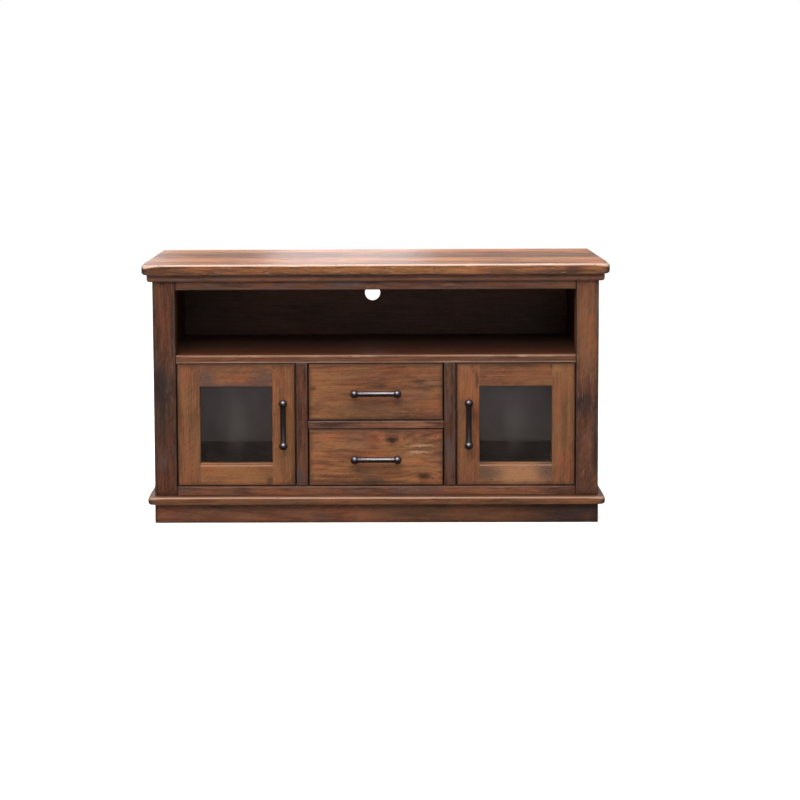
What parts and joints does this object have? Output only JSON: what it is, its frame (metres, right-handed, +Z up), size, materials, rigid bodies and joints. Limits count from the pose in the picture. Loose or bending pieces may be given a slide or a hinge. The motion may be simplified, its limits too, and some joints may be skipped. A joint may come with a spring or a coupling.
{
  "type": "tv unit",
  "caption": "Rustic wooden tv unit on a plinth, with an open niche over stacked drawers and a framed glass door at each side.",
  "frame": {"origin": "on the floor under the middle of the whole unit, handles included", "axes": "+X to the right along the front, +Y from the front to the back, +Z up"},
  "size_m": [1.4, 0.464, 0.79],
  "materials": {
    "top_wood": "walnut-stained pine, satin lacquer, worn edges",
    "frame_wood": "dark walnut-stained pine, satin lacquer",
    "front_wood": "warm walnut-stained pine with knots, satin lacquer",
    "inner_wood": "dark stain, thin matt lacquer",
    "drawer_wood": "plain pine, clear matt lacquer",
    "dark_iron": "antique black iron, polished by handling",
    "steel": "zinc-plated steel",
    "catch_plastic": "moulded brown plastic",
    "glass": "clear float glass, smoky"
  },
  "bodies": {
    "cabinet": {"top_board": "top_wood", "cornice_front": "frame_wood", "cornice_returns": "frame_wood", "front_post_left": "frame_wood", "front_post_right": "frame_wood", "rear_post_left": "frame_wood", "rear_post_right": "frame_wood", "side_rails_left": "frame_wood", "side_rails_right": "frame_wood", "side_panel_left": "frame_wood", "side_panel_right": "frame_wood", "top_rail": "frame_wood", "bottom_rail": "frame_wood", "mid_rail": "frame_wood", "centre_stile_left": "frame_wood", "centre_stile_right": "frame_wood", "fixed_shelf": "frame_wood", "floor_panel": "inner_wood", "panel_bearers": "inner_wood", "back_battens": "inner_wood", "partition_left": "inner_wood", "partition_right": "inner_wood", "back_panel_upper": "inner_wood", "back_panel_lower": "inner_wood", "rear_top_rail": "inner_wood", "rear_bottom_rail": "inner_wood", "top_bearers": "inner_wood", "top_screws": "steel", "base_board": "frame_wood", "plinth_front": "frame_wood", "plinth_returns": "frame_wood", "plinth_back": "inner_wood", "plinth_blocks": "inner_wood", "drawer_runners": "inner_wood", "drawer_guides": "inner_wood", "drawer_stops": "inner_wood", "door_pivots": "steel", "door_catches": "catch_plastic"},
    "door_left": {"door_left_stiles": "front_wood", "door_left_rails": "front_wood", "door_left_glass": "glass", "door_left_beads": "front_wood", "door_left_handle": "dark_iron", "door_left_fittings": "steel"},
    "door_right": {"door_right_stiles": "front_wood", "door_right_rails": "front_wood", "door_right_glass": "glass", "door_right_beads": "front_wood", "door_right_handle": "dark_iron", "door_right_fittings": "steel"},
    "drawer_upper": {"drawer_upper_front": "front_wood", "drawer_upper_sides": "drawer_wood", "drawer_upper_back": "drawer_wood", "drawer_upper_bottom": "drawer_wood", "drawer_upper_handle": "dark_iron"},
    "drawer_lower": {"drawer_lower_front": "front_wood", "drawer_lower_sides": "drawer_wood", "drawer_lower_back": "drawer_wood", "drawer_lower_bottom": "drawer_wood", "drawer_lower_handle": "dark_iron"}
  },
  "joints": [
    {"name": "door_left_hinge", "type": "hinge", "parent": "cabinet", "child": "door_left", "pos_m": [-0.5885, -0.1808, 0.3], "axis": [0, 0, -1], "range_deg": [0, 110]},
    {"name": "door_right_hinge", "type": "hinge", "parent": "cabinet", "child": "door_right", "pos_m": [0.5885, -0.1808, 0.3], "axis": [0, 0, 1], "range_deg": [0, 110]},
    {"name": "drawer_upper_slide", "type": "slide", "parent": "cabinet", "child": "drawer_upper", "axis": [0, -1, 0], "range_m": [0, 0.28]},
    {"name": "drawer_lower_slide", "type": "slide", "parent": "cabinet", "child": "drawer_lower", "axis": [0, -1, 0], "range_m": [0, 0.28]}
  ]
}
